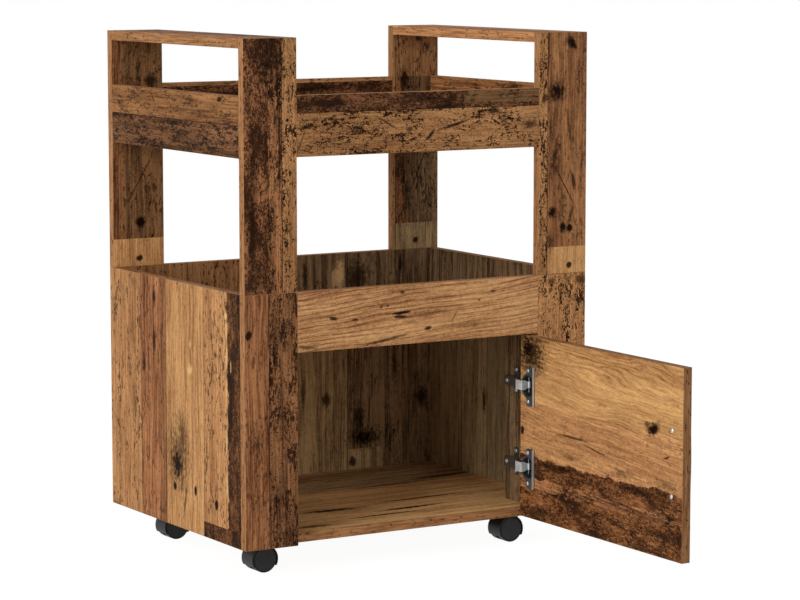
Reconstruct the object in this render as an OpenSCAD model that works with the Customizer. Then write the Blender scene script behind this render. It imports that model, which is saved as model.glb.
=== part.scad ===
// Kitchen cart on four swivel casters: a cupboard with one door, an open sunk shelf over it,
// and a bordered top tray between four posts that carry two flat handle bars.
// Millimetres. The front faces -Y, +X is to the right and the floor is z = 0.
// The door is drawn standing open.

/* [Cart] */
// Overall width over the outer faces
cart_w = 600; // [480:5:800]
// Overall depth over the front and back boards
cart_d = 450; // [380:5:600]
// Overall height from the floor to the top of the handle bars
cart_h = 800; // [770:5:1000]
// Thickness of every board
board_t = 15; // [15:0.5:18]
// Width of the four posts, the front stiles and the handle bars
post_w = 88; // [80:1:120]
// Bevel that breaks the edges of the boards
edge_bevel = 0.6; // [0.2:0.1:1]

/* [Cupboard] */
// Height of the cupboard from its underside to its top edge
cupboard_h = 378; // [330:1:420]
// Height of the front rail, which is also the depth of the sunk shelf with its board
rail_h = 90; // [70:1:120]
// Distance of the bottom board's front edge from the front of the cart
bottom_setback = 20; // [20:0.5:40]
// Depth of the upright batten that carries the hinges
batten_d = 75; // [72:1:110]

/* [Top tray] */
// Height of the border boards round the top tray
border_h = 90; // [60:1:110]
// Clear height between the tray's border and the handle bars
hand_gap = 69; // [45:1:90]

/* [Door] */
// Gap between the door and the boards round it
door_gap = 2; // [2:0.25:4]
// Angle at which the door stands open
door_open = 90; // [0:5:95]
// Distance between the two screws of the handle
handle_span = 96; // [64:16:128]
// Distance of the handle's screws from the free edge of the door
handle_inset = 26; // [20:1:60]
// Distance that the handle stands out from the door
handle_reach = 16; // [14:0.5:30]
// Thickness of the handle's grip
handle_grip_t = 5; // [4:0.5:7]
// Width of the handle
handle_w = 10; // [8:1:16]

/* [Hinges] */
// Distance of each hinge from the nearer end of the door
hinge_from_end = 78; // [60:1:110]
// Diameter of the hinge cup
cup_d = 35; // [35:0.5:38]
// Distance of the cup's centre from the door's edge
cup_inset = 22.5; // [22:0.25:23.5]
// Wood left between the cup and the outer face of the door
cup_skin = 2.2; // [1.8:0.1:2.8]
// Sheet thickness of the cup
cup_wall = 0.8; // [0.6:0.1:1]
// Height of the cup's flange
flange_h = 62; // [58:1:66]
// Distance between the flange's two screws
flange_screw_span = 48; // [46:1:52]
// Distance of the hinge pin from the door's edge
pin_inset = 10; // [9.8:0.1:10.4]
// Distance of the hinge pin from the outer face of the door
pin_from_face = 5.8; // [5.5:0.1:6]
// Diameter of the hinge pin
pin_d = 2.4; // [2:0.1:2.6]
// Sheet thickness of the hinge arm
arm_t = 1.6; // [1.2:0.1:1.8]
// Width of the arm's knuckle, which turns on the pin
knuckle_w = 10; // [9:0.5:11]
// Width of the arm over the mounting plate
arm_w = 15; // [14:0.5:15.5]
// Distance between the mounting plate's two screws
plate_screw_span = 32; // [30:1:36]
// Distance of the mounting plate's screws from the inner face of the closed door
plate_setback = 42; // [41:1:46]

/* [Casters] */
// Height from the floor to the underside of the cupboard
caster_h = 50; // [49:0.5:60]
// Diameter of the caster wheels
wheel_d = 40; // [36:0.5:41]
// Width over the two wheels of a caster
caster_w = 34; // [30:1:40]
// Distance between the swivel axis and the axle
caster_trail = 14; // [12:0.5:16]
// Distance of the swivel axes from the outer faces of the cart
caster_inset = 80; // [60:1:110]
// Side of the caster's square mounting plate
caster_plate_w = 42; // [40:1:50]
// Distance between the screws of a caster plate
caster_screw_span = 32; // [31:1:36]
// Thickness of the caster plate
caster_plate_t = 2.5; // [2:0.1:3]
// Thickness of the caster's hood
hood_wall = 1.6; // [1.2:0.1:2]
// Angle below the axle's height at which the hood ends
hood_end_angle = 28; // [10:1:35]
// Diameter of the swivel stem
stem_d = 6; // [5:0.2:6.4]
// Diameter of the axle
axle_d = 5; // [4:0.2:6]

/* [Fasteners] */
// Diameter of the wooden dowels
dowel_d = 8; // [6:0.5:8]
// Length of the wooden dowels
dowel_l = 30; // [24:1:30]
// Diameter of the cam discs
cam_d = 15; // [12:0.5:15]
// Distance from a cam disc's centre to the edge of its board
cam_reach = 24; // [20:1:34]
// Shank diameter of the wood screws
screw_d = 3.6; // [3:0.1:4]
// Length of the wood screws under the head
screw_l = 12; // [9:0.5:12]

/* [Hidden] */
$fn = 48;

// Half sizes and heights that the boards share
half_w = cart_w / 2;
half_d = cart_d / 2;
inner_w = half_w - board_t;
inner_d = half_d - board_t;
post_edge = half_w - post_w;
cupboard_bottom = caster_h;
cupboard_top = cupboard_bottom + cupboard_h;
rail_bottom = cupboard_top - rail_h;
bar_bottom = cart_h - board_t;
tray_top = bar_bottom - hand_gap;
tray_bottom = tray_top - border_h;
mid_board = board_t / 2;

// Clearances
running_gap = 0.05;
seat_gap = 0.05;
small_gap = 0.3;
cut = 0.1;

// Door, drawn closed and then swung open about the hinge pins
door_edge = post_edge - door_gap;
door_bottom = cupboard_bottom + door_gap;
door_top = rail_bottom - door_gap;
pin_x = door_edge - pin_inset;
pin_y = -half_d + pin_from_face;
pin_depth = board_t - pin_from_face;
hinge_heights = [door_bottom + hinge_from_end, door_top - hinge_from_end];

// Hinge parts
cup_r = cup_d / 2;
cup_depth = board_t - cup_skin;
cup_x = door_edge - cup_inset;
flange_t = 1.2;
flange_side = cup_r + 0.5;
flange_ear_r = 5;
flange_ring = 2;
flange_rim_h = 4.6;
knuckle_wall = 1.2;
knuckle_r = min(pin_d / 2 + knuckle_wall, pin_from_face - cup_skin - cup_wall - small_gap);
knuckle_shoulder = knuckle_r + 1;
hook_over_flange = 3.5;
hook_behind_door = 6;
hook_reach = pin_depth + flange_t + hook_over_flange;
hook_shoulder = hook_reach * 0.6;
hook_rise = pin_depth + hook_behind_door;
crank_rise = 12;
crank_run = 12;
arm_flange_h = 7;
arm_flange_slope = 6;
arm_tail = 14;
arm_screw_l = 7;
plate_t = 2;
plate_wing_w = 12;
ridge_l = 34;
plate_screw_y = -inner_d + plate_setback;
arm_end_y = plate_screw_y + arm_tail;
arm_screw_y = arm_end_y - arm_tail / 2;
ridge_w = arm_w - 2 * arm_t - 2 * small_gap;
ridge_front_y = arm_end_y - ridge_l;

// Screws
head_r = screw_d * 0.95;
head_h = screw_d * 0.55;
dome_r = head_r * 1.6;
slot_w = 0.9;
slot_reach = head_r * 0.6;

// Casters
wheel_r = wheel_d / 2;
hood_clear = 0.4;
hood_in_r = wheel_r + hood_clear;
hood_out_r = hood_in_r + hood_wall;
web_t = stem_d + 2;
wheel_gap = 0.5;
hub_wall = 2.5;
hub_r = axle_d / 2 + hub_wall;
web_foot = 1;
tread_t = 3;
face_t = 1.8;
race_h = 1.7;
race_r = 12;
boss_wall = 5;
boss_r = stem_d / 2 + boss_wall;
boss_top = caster_h - caster_plate_t - race_h - small_gap;
stem_lift = 6;
stem_bottom = wheel_r + stem_lift;
plate_corner_r = 4;
caster_x = half_w - caster_inset;
caster_y = half_d - caster_inset;
caster_spots = [[-1, -1], [1, -1], [-1, 1], [1, 1]];

// Dowels: the point where the two boards meet, the way into the board whose edge is drilled,
// and the length in that board
dowel_end_gap = 0.5;
in_edge = dowel_l * 2 / 3;
in_end = dowel_l / 2;
dowel_margin = 25;
post_pitch = post_w / 4;
back_post_pitch = post_pitch * 0.8;
batten_dowel_reach = batten_d * 0.7;
shelf_mid = rail_bottom + mid_board;
bottom_mid = cupboard_bottom + mid_board;
tray_mid = tray_bottom + mid_board;
bar_mid = bar_bottom + mid_board;
board_x = half_w - mid_board;
board_y = half_d - mid_board;
post_mid = half_w - post_w / 2;
run_x = cart_w / 4;
run_y = cart_d / 3;
dowel_joints = concat(
  // side panels on the front stiles, and the back panel between the side panels
  [for (s = [-1, 1], z = [cupboard_bottom + 2 * dowel_margin, cupboard_top - 2 * dowel_margin])
    [[s * board_x, -inner_d, z], [0, 1, 0], in_edge]],
  [for (s = [-1, 1], z = [cupboard_bottom + 4 * dowel_margin, cupboard_top - 2 * dowel_margin])
    [[s * inner_w, board_y, z], [-s, 0, 0], in_edge]],
  // bottom board and middle shelf between the side panels
  [for (s = [-1, 1], y = [-run_y, run_y], z = [bottom_mid, shelf_mid])
    [[s * inner_w, y, z], [-s, 0, 0], in_edge]],
  [for (x = [-run_x, run_x]) [[x, inner_d, bottom_mid], [0, -1, 0], in_edge]],
  // front rail on the middle shelf and between the stiles
  [for (x = [-run_x, run_x]) [[x, -inner_d, shelf_mid], [0, 1, 0], in_edge]],
  [for (s = [-1, 1], z = [rail_bottom + dowel_margin, cupboard_top - dowel_margin])
    [[s * post_edge, -board_y, z], [-s, 0, 0], in_end]],
  // hinge batten behind the right stile and on the bottom board
  [for (z = [rail_bottom - dowel_margin, cupboard_bottom + board_t + dowel_margin])
    [[post_edge + mid_board, -inner_d, z], [0, 1, 0], in_edge]],
  [[[post_edge + mid_board, -inner_d + batten_dowel_reach, cupboard_bottom + board_t], [0, 0, 1], in_edge]],
  // posts on the cupboard; the outer dowels at the back keep clear of the fittings of the side panels
  [for (s = [-1, 1], t = [-post_pitch, post_pitch])
    [[s * (post_mid + t), -board_y, cupboard_top], [0, 0, 1], in_end]],
  [for (s = [-1, 1], t = [-post_pitch, back_post_pitch])
    [[s * (post_mid + t), board_y, cupboard_top], [0, 0, 1], in_end]],
  // handle bars between the posts
  [for (s = [-1, 1], t = [-post_pitch, post_pitch], e = [-1, 1])
    [[s * (post_mid + t), e * inner_d, bar_mid], [0, -e, 0], in_edge]],
  // tray borders between the posts
  [for (s = [-1, 1], e = [-1, 1], z = [tray_bottom + dowel_margin, tray_top - dowel_margin])
    [[s * board_x, e * inner_d, z], [0, -e, 0], in_edge]],
  [for (s = [-1, 1], e = [-1, 1], z = [tray_bottom + dowel_margin, tray_top - dowel_margin])
    [[s * post_edge, e * board_y, z], [-s, 0, 0], in_end]],
  // tray board inside its borders
  [for (s = [-1, 1], y = [-run_y, run_y]) [[s * inner_w, y, tray_mid], [-s, 0, 0], in_edge]],
  [for (e = [-1, 1], x = [-run_x / 2, run_x / 2]) [[x, e * inner_d, tray_mid], [0, -e, 0], in_edge]]
);

// Cam fittings: the point where the boards meet, the way into the board that holds the cam disc,
// and the side of that board on which the disc lies
bolt_r = 3;
bolt_thread_r = 3.4;
bolt_in_face = 10;
bolt_neck_l = 4;
bolt_neck_r = 2;
bolt_collar_t = 1;
bolt_head_t = 2;
cam_depth = 12;
cam_slot_depth = 2;
cam_recess = 0.3;
cam_joints = concat(
  [for (s = [-1, 1], z = [cupboard_bottom + 4 * dowel_margin, rail_bottom - 2 * dowel_margin])
    [[s * board_x, -inner_d, z], [0, 1, 0], [-s, 0, 0]]],
  [for (s = [-1, 1], y = [-run_y / 2, run_y / 2], z = [bottom_mid, shelf_mid])
    [[s * inner_w, y, z], [-s, 0, 0], [0, 0, -1]]],
  [for (s = [-1, 1]) [[s * inner_w, board_y, rail_bottom - 2 * dowel_margin], [-s, 0, 0], [0, -1, 0]]],
  [for (s = [-1, 1], e = [-1, 1]) [[s * post_mid, e * board_y, cupboard_top], [0, 0, -1], [0, 1, 0]]],
  [for (s = [-1, 1], e = [-1, 1]) [[s * post_mid, e * inner_d, bar_mid], [0, -e, 0], [0, 0, -1]]],
  [for (s = [-1, 1], y = [-run_y / 2, run_y / 2])
    [[s * inner_w, y, tray_mid], [-s, 0, 0], [0, 0, -1]]],
  [for (e = [-1, 1]) [[0, e * inner_d, tray_mid], [0, -e, 0], [0, 0, -1]]]
);

// True where a point lies in or on the box from lo to hi
function touches(p, lo, hi) =
  min([for (i = [0:2]) min(p[i] - lo[i], hi[i] - p[i])]) > -0.01;

// Turns the children's +Z to the direction dir
module facing(dir) {
  rotate([0, acos(dir[2]), atan2(dir[1], dir[0])]) children();
}

// A rectangle from lo to hi with its corners cut off
module beveled_outline(lo, hi, b) {
  polygon([
    [lo[0] + b, lo[1]], [hi[0] - b, lo[1]], [hi[0], lo[1] + b], [hi[0], hi[1] - b],
    [hi[0] - b, hi[1]], [lo[0] + b, hi[1]], [lo[0], hi[1] - b], [lo[0], lo[1] + b]
  ]);
}

// A board from lo to hi with its edges broken
module plain_board(lo, hi) {
  b = edge_bevel;
  intersection() {
    translate([0, 0, lo[2]])
      linear_extrude(hi[2] - lo[2]) beveled_outline([lo[0], lo[1]], [hi[0], hi[1]], b);
    translate([0, hi[1], 0]) rotate([90, 0, 0])
      linear_extrude(hi[1] - lo[1]) beveled_outline([lo[0], lo[2]], [hi[0], hi[2]], b);
    translate([lo[0], 0, 0]) rotate([90, 0, 90])
      linear_extrude(hi[0] - lo[0]) beveled_outline([lo[1], lo[2]], [hi[1], hi[2]], b);
  }
}

// A board with the holes of the fittings that meet it
module board(lo, hi) {
  difference() {
    plain_board(lo, hi);
    for (j = dowel_joints) if (touches(j[0], lo, hi)) dowel(j, seat_gap, dowel_end_gap);
    for (j = cam_joints) if (touches(j[0], lo, hi)) cam_holes(j);
  }
}

module dowel(j, widen, lengthen) {
  translate(j[0]) facing(j[1])
    translate([0, 0, j[2] - dowel_l - lengthen])
      cylinder(h = dowel_l + 2 * lengthen, d = dowel_d + 2 * widen);
}

module cam_holes(j) {
  translate(j[0]) {
    facing(j[1]) {
      translate([0, 0, -bolt_in_face - seat_gap])
        cylinder(h = bolt_in_face + seat_gap + cut, r = bolt_thread_r + seat_gap);
      cylinder(h = cam_reach, r = bolt_thread_r + small_gap);
    }
    translate(cam_reach * j[1]) facing(j[2])
      translate([0, 0, mid_board - cam_depth - small_gap])
        cylinder(h = cam_depth + small_gap + cut, d = cam_d + 2 * seat_gap);
  }
}

module cam_bolt(j) {
  translate(j[0]) facing(j[1]) {
    translate([0, 0, -bolt_in_face]) cylinder(h = bolt_in_face, r = bolt_thread_r);
    cylinder(h = cam_reach - bolt_neck_l, r = bolt_r);
    translate([0, 0, cam_reach - bolt_neck_l - bolt_collar_t])
      cylinder(h = bolt_collar_t, r = bolt_thread_r);
    translate([0, 0, cam_reach - bolt_neck_l]) cylinder(h = bolt_neck_l, r = bolt_neck_r);
    translate([0, 0, cam_reach - bolt_head_t / 2]) cylinder(h = bolt_head_t, r = bolt_thread_r);
  }
}

module cam_disc(j) {
  translate(j[0] + cam_reach * j[1]) difference() {
    facing(j[2]) translate([0, 0, mid_board - cam_depth]) difference() {
      cylinder(h = cam_depth - cam_recess, d = cam_d);
      // cross slot for the screwdriver
      for (a = [0, 90]) rotate([0, 0, a])
        translate([-cam_d / 4, -slot_w, cam_depth - cam_recess - cam_slot_depth])
          cube([cam_d / 2, 2 * slot_w, cam_slot_depth + cut]);
    }
    facing(-j[1]) translate([0, 0, -bolt_head_t / 2 - 2 * small_gap])
      cylinder(h = cam_d, r = bolt_thread_r + small_gap);
  }
}

// A pan-head wood screw along +Z, its head's seat at z = 0 and its shank below
module wood_screw(shank_l) {
  difference() {
    union() {
      translate([0, 0, -shank_l]) cylinder(h = shank_l, d = screw_d);
      rotate_extrude() intersection() {
        translate([0, head_h - dome_r]) circle(dome_r);
        square([head_r, head_h]);
      }
    }
    for (a = [0, 90]) rotate([0, 0, a])
      translate([-slot_reach, -slot_w / 2, head_h / 2]) cube([2 * slot_reach, slot_w, head_h]);
  }
}

module wood_screw_hole(shank_l) {
  translate([0, 0, -shank_l - small_gap])
    cylinder(h = shank_l + small_gap + cut, d = screw_d + 2 * seat_gap);
}

// Cupboard

module side_panel(s) {
  x = [min(s * half_w, s * inner_w), max(s * half_w, s * inner_w)];
  color("#a8743f") board([x[0], -inner_d, cupboard_bottom], [x[1], half_d, cupboard_top]);
}

module side_panel_left() { side_panel(-1); }
module side_panel_right() { side_panel(1); }

module back_panel() {
  color("#7c5230") board([-inner_w, inner_d, cupboard_bottom], [inner_w, half_d, cupboard_top]);
}

module bottom_board() {
  color("#8f6236") difference() {
    board([-inner_w, -half_d + bottom_setback, cupboard_bottom],
      [inner_w, inner_d, cupboard_bottom + board_t]);
    for (spot = caster_spots) at_caster(spot) caster_screw_places(caster_h)
      rotate([180, 0, 0]) wood_screw_hole(screw_l - caster_plate_t);
  }
}

module middle_shelf() {
  color("#8f6236") board([-inner_w, -inner_d, rail_bottom], [inner_w, inner_d, rail_bottom + board_t]);
}

module front_stile(s) {
  x = [min(s * half_w, s * post_edge), max(s * half_w, s * post_edge)];
  color("#8a5a34") board([x[0], -half_d, cupboard_bottom], [x[1], -inner_d, cupboard_top]);
}

module front_stile_left() { front_stile(-1); }
module front_stile_right() { front_stile(1); }

module front_rail() {
  color("#c08a50") board([-post_edge, -half_d, rail_bottom], [post_edge, -inner_d, cupboard_top]);
}

module hinge_batten() {
  color("#7a5634") difference() {
    board([post_edge, -inner_d, cupboard_bottom + board_t],
      [post_edge + board_t, -inner_d + batten_d, rail_bottom]);
    at_plate_screws() wood_screw_hole(screw_l);
  }
}

// Posts and handle bars

module post(s, e) {
  x = [min(s * half_w, s * post_edge), max(s * half_w, s * post_edge)];
  y = [min(e * half_d, e * inner_d), max(e * half_d, e * inner_d)];
  color("#84552f") board([x[0], y[0], cupboard_top], [x[1], y[1], cart_h]);
}

module post_front_left() { post(-1, -1); }
module post_front_right() { post(1, -1); }
module post_back_left() { post(-1, 1); }
module post_back_right() { post(1, 1); }

module handle_bar(s) {
  x = [min(s * half_w, s * post_edge), max(s * half_w, s * post_edge)];
  color("#9a6a3c") board([x[0], -inner_d, bar_bottom], [x[1], inner_d, cart_h]);
}

module handle_bar_left() { handle_bar(-1); }
module handle_bar_right() { handle_bar(1); }

// Top tray

module tray_board() {
  color("#8f6236") board([-inner_w, -inner_d, tray_bottom], [inner_w, inner_d, tray_bottom + board_t]);
}

module tray_side(s) {
  x = [min(s * half_w, s * inner_w), max(s * half_w, s * inner_w)];
  color("#8a5c33") board([x[0], -inner_d, tray_bottom], [x[1], inner_d, tray_top]);
}

module tray_side_left() { tray_side(-1); }
module tray_side_right() { tray_side(1); }

module tray_end(e) {
  y = [min(e * half_d, e * inner_d), max(e * half_d, e * inner_d)];
  color("#a5713c") board([-post_edge, y[0], tray_bottom], [post_edge, y[1], tray_top]);
}

module tray_front() { tray_end(-1); }
module tray_back() { tray_end(1); }

// Fittings that join the boards

module dowels() {
  color("#d9b98a") for (j = dowel_joints) dowel(j, 0, 0);
}

module cam_bolts() {
  color("silver") for (j = cam_joints) cam_bolt(j);
}

module cam_discs() {
  color("#9a9a9a") for (j = cam_joints) cam_disc(j);
}

// Door and its handle

// Swings the children, drawn with the door closed, to where the door stands
module in_open_door() {
  translate([pin_x, pin_y, 0]) rotate([0, 0, door_open]) translate([-pin_x, -pin_y, 0]) children();
}

// Places the children at the handle's screws on the inner face of the closed door
module at_handle_screws() {
  for (s = [-1, 1])
    translate([-door_edge + handle_inset, -inner_d, (door_bottom + door_top) / 2 + s * handle_span / 2])
      rotate([-90, 0, 0]) children();
}

// Places the children at each cup's mouth on the closed door, +Z pointing into the cupboard
module at_cups(heights) {
  for (z = heights) translate([cup_x, -inner_d, z]) rotate([-90, 0, 0]) children();
}

module at_cup_screws() {
  at_cups(hinge_heights) for (s = [-1, 1]) translate([0, s * flange_screw_span / 2, flange_t]) children();
}

module door() {
  color("#b07a44") in_open_door() difference() {
    plain_board([-door_edge, -half_d, door_bottom], [door_edge, -inner_d, door_top]);
    at_cups(hinge_heights) translate([0, 0, -cup_depth - seat_gap])
      cylinder(h = cup_depth + seat_gap + cut, r = cup_r + seat_gap);
    at_cup_screws() wood_screw_hole(screw_l);
    at_handle_screws() translate([0, 0, -board_t - cut])
      cylinder(h = board_t + 2 * cut, d = screw_d + 2 * small_gap);
  }
}

// A bow handle: two feet, joined by a grip that runs on a shallow arc
module handle_outline() {
  foot = handle_w / 2;
  rise = 1.5;
  half_l = handle_span / 2 + foot;
  arc_r = (half_l * half_l + rise * rise) / (2 * rise);
  difference() {
    intersection() {
      translate([-half_l, 0]) square([2 * half_l, handle_reach]);
      translate([0, handle_reach - arc_r]) circle(arc_r, $fn = 360);
    }
    translate([-handle_span / 2 + foot, -cut])
      square([handle_span - 2 * foot, handle_reach - rise - handle_grip_t + cut]);
  }
}

module door_handle() {
  color("#2b2b2c") in_open_door()
    translate([-door_edge + handle_inset, -half_d, (door_bottom + door_top) / 2])
      difference() {
        translate([-handle_w / 2, 0, 0]) rotate([90, 0, 90]) linear_extrude(handle_w)
          rotate(90) handle_outline();
        for (s = [-1, 1]) translate([0, cut, s * handle_span / 2]) rotate([90, 0, 0])
          cylinder(h = handle_reach / 2 + cut + small_gap, d = screw_d + 2 * seat_gap);
      }
}

module handle_screws() {
  color("silver") in_open_door() at_handle_screws() wood_screw(board_t + handle_reach / 2);
}

// Hinges

// The flange is straight on the side of the door's free edge, with an ear for each screw.
module flange_outline() {
  ear_y = flange_h / 2 - flange_ear_r;
  intersection() {
    union() {
      translate([-flange_side, -flange_h / 2]) square([flange_side, flange_h]);
      translate([-flange_side, -ear_y]) square([flange_side + flange_ear_r, 2 * ear_y]);
      for (s = [-1, 1]) translate([0, s * ear_y]) circle(flange_ear_r);
      circle(cup_r + flange_ring);
    }
    translate([-flange_side, -flange_h / 2]) square(flange_h);
  }
}

module hinge_cup(z) {
  color("#b9bcc0") in_open_door() difference() {
    at_cups([z]) {
      linear_extrude(flange_t) difference() {
        flange_outline();
        circle(cup_r - cup_wall);
        for (s = [-1, 1]) translate([0, s * flange_screw_span / 2]) circle(d = screw_d + 2 * seat_gap);
      }
      // the straight side is turned up as a rim
      translate([-flange_side, -flange_h / 2, 0]) cube([flange_t, flange_h, flange_rim_h]);
      difference() {
        translate([0, 0, -cup_depth]) cylinder(h = cup_depth + flange_t / 2, r = cup_r);
        translate([0, 0, -cup_depth + cup_wall]) cylinder(h = cup_depth + flange_t, r = cup_r - cup_wall);
      }
    }
    translate([pin_x, pin_y, z - cup_r]) cylinder(h = cup_d, d = pin_d + 2 * running_gap);
  }
}

module hinge_cup_upper() { hinge_cup(hinge_heights[1]); }
module hinge_cup_lower() { hinge_cup(hinge_heights[0]); }

// Each pin crosses its cup and ends flush with the cup's wall
module hinge_pins() {
  color("#8c8f94") in_open_door() for (z = hinge_heights) intersection() {
    translate([pin_x, pin_y, z - cup_r]) cylinder(h = cup_d, d = pin_d);
    at_cups([z]) translate([0, 0, -cup_depth]) cylinder(h = cup_depth, r = cup_r - cup_wall / 4);
  }
}

module cup_screws() {
  color("silver") in_open_door() at_cup_screws() wood_screw(screw_l);
}

// A bent strip: straight runs between the points with round bends
module strip(points, t) {
  for (i = [0:len(points) - 1]) translate(points[i]) circle(d = t);
  for (i = [0:len(points) - 2]) {
    run = points[i + 1] - points[i];
    translate(points[i]) rotate(atan2(run[1], run[0])) translate([0, -t / 2]) square([norm(run), t]);
  }
}

// The arm as seen from above, with the hinge pin at the origin
arm_points = [
  [0, 0], [-hook_reach, 0], [-hook_reach, hook_rise],
  [-hook_reach + crank_rise, hook_rise + crank_run],
  [-hook_reach + crank_rise, arm_end_y - pin_y]
];

ridge_x = pin_x + arm_points[4][0] + arm_t / 2;

// The arm's first run from the side: it widens from the knuckle to the full width
module hook_side() {
  full = arm_w / 2;
  narrow = knuckle_w / 2;
  polygon([
    [knuckle_r, -narrow], [knuckle_r, narrow], [-knuckle_shoulder, narrow], [-hook_shoulder, full],
    [-hook_reach - arm_t, full], [-hook_reach - arm_t, -full], [-hook_shoulder, -full],
    [-knuckle_shoulder, -narrow]
  ]);
}

module hinge_arm(z) {
  color("#c9ccd0") translate([pin_x, pin_y, z]) {
    difference() {
      union() {
        intersection() {
          linear_extrude(arm_w, center = true) {
            strip([for (i = [0:1]) arm_points[i]], arm_t);
            circle(knuckle_r);
          }
          translate([0, 2 * knuckle_r, 0]) rotate([90, 0, 0])
            linear_extrude(4 * knuckle_r) hook_side();
        }
        linear_extrude(arm_w, center = true) strip([for (i = [1:4]) arm_points[i]], arm_t);
      }
      cylinder(h = arm_w, d = pin_d + 2 * running_gap, center = true);
      translate([arm_points[4][0], arm_screw_y - pin_y, 0]) rotate([0, 90, 0])
        cylinder(h = 4 * arm_t, d = screw_d + 2 * small_gap, center = true);
    }
    // side flanges that turn the arm into a channel over the mounting plate
    for (s = [-1, 1]) translate([0, 0, s * (arm_w - arm_t) / 2]) linear_extrude(arm_t, center = true)
      polygon([
        [arm_points[3][0], arm_points[3][1]],
        [arm_points[3][0] + arm_flange_h, arm_points[3][1] + arm_flange_slope],
        [arm_points[4][0] + arm_flange_h, arm_points[4][1]], [arm_points[4][0], arm_points[4][1]]
      ]);
  }
}

module hinge_arm_upper() { hinge_arm(hinge_heights[1]); }
module hinge_arm_lower() { hinge_arm(hinge_heights[0]); }

// Places the children at the mounting plates' screws on the batten, +Z pointing into the cupboard
module at_plate_screws() {
  for (z = hinge_heights, s = [-1, 1])
    translate([post_edge - plate_t, plate_screw_y, z + s * plate_screw_span / 2])
      rotate([0, -90, 0]) children();
}

module hinge_plate(z) {
  color("#aeb1b6") difference() {
    union() {
      translate([post_edge - plate_t, plate_screw_y, z]) rotate([0, 90, 0]) linear_extrude(plate_t) {
        square([plate_screw_span, plate_wing_w], center = true);
        for (s = [-1, 1]) translate([s * plate_screw_span / 2, 0]) circle(d = plate_wing_w);
      }
      translate([ridge_x, ridge_front_y, z - ridge_w / 2])
        cube([post_edge - ridge_x, ridge_l, ridge_w]);
    }
    at_plate_screws() translate([0, 0, -plate_t - cut])
      cylinder(h = 2 * plate_t, d = screw_d + 2 * seat_gap);
    at_plate_screws() cylinder(h = post_edge, r = head_r + small_gap);
    translate([ridge_x - cut, arm_screw_y, z]) rotate([0, 90, 0])
      cylinder(h = arm_screw_l + small_gap + cut, d = screw_d + 2 * seat_gap);
  }
}

module hinge_plate_upper() { hinge_plate(hinge_heights[1]); }
module hinge_plate_lower() { hinge_plate(hinge_heights[0]); }

module hinge_screws() {
  color("silver") {
    at_plate_screws() wood_screw(screw_l);
    for (z = hinge_heights) translate([ridge_x - arm_t, arm_screw_y, z]) rotate([0, -90, 0])
      wood_screw(arm_t + arm_screw_l);
  }
}

// Casters, each drawn about its swivel axis on the floor, trailing to -X

module at_caster(spot) {
  translate([spot[0] * caster_x, spot[1] * caster_y, 0]) children();
}

// Places the children at a caster plate's four screws, at height z
module caster_screw_places(z) {
  for (a = [-1, 1], b = [-1, 1])
    translate([a * caster_screw_span / 2, b * caster_screw_span / 2, z]) children();
}

// Turns a shape drawn on X and Z round the axle into a solid of width w, with its near face at y
module along_axle(y, w) {
  translate([-caster_trail, y + w, wheel_r]) rotate([90, 0, 0]) linear_extrude(w) children();
}

module caster_plate(spot) {
  half = caster_plate_w / 2;
  color("#3a3a3c") at_caster(spot) difference() {
    union() {
      translate([0, 0, caster_h - caster_plate_t]) linear_extrude(caster_plate_t) {
        square([caster_plate_w, caster_plate_w - 2 * plate_corner_r], center = true);
        square([caster_plate_w - 2 * plate_corner_r, caster_plate_w], center = true);
        for (a = [-1, 1], b = [-1, 1])
          translate([a * (half - plate_corner_r), b * (half - plate_corner_r)]) circle(plate_corner_r);
      }
      translate([0, 0, caster_h - caster_plate_t - race_h]) cylinder(h = race_h + cut, r = race_r);
    }
    translate([0, 0, caster_h / 2]) cylinder(h = caster_h, d = stem_d + 2 * seat_gap);
    caster_screw_places(caster_h - caster_plate_t - cut)
      cylinder(h = caster_plate_t + 2 * cut, d = screw_d + 2 * seat_gap);
  }
}

// The hood wraps both wheels from above, and its middle web holds the axle and the stem
module caster_hood(spot) {
  drop = hood_out_r * sin(hood_end_angle);
  color("#1e1e20") at_caster(spot) difference() {
    union() {
      along_axle(-caster_w / 2, caster_w) difference() {
        circle(hood_out_r, $fn = 96);
        circle(hood_in_r, $fn = 96);
        translate([-2 * hood_out_r, -2 * hood_out_r - drop])
          square([4 * hood_out_r, 2 * hood_out_r]);
      }
      along_axle(-web_t / 2, web_t) difference() {
        circle(hood_in_r + hood_wall / 2, $fn = 96);
        translate([-2 * hood_out_r, -2 * hood_out_r - hub_r - web_foot])
          square([4 * hood_out_r, 2 * hood_out_r]);
      }
      difference() {
        translate([0, 0, wheel_r]) cylinder(h = boss_top - wheel_r, r = boss_r);
        along_axle(-caster_w, 2 * caster_w) circle(hood_in_r + hood_wall / 2, $fn = 96);
      }
    }
    translate([0, 0, stem_bottom - small_gap]) cylinder(h = caster_h, d = stem_d + 2 * running_gap);
    along_axle(-caster_w, 2 * caster_w) circle(d = axle_d + 2 * seat_gap);
  }
}

module caster_axle(spot) {
  axle_l = caster_w - 2 * face_t - 2 * small_gap - 2 * wheel_gap;
  color("silver") at_caster(spot) along_axle(-axle_l / 2, axle_l) circle(d = axle_d);
}

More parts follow.
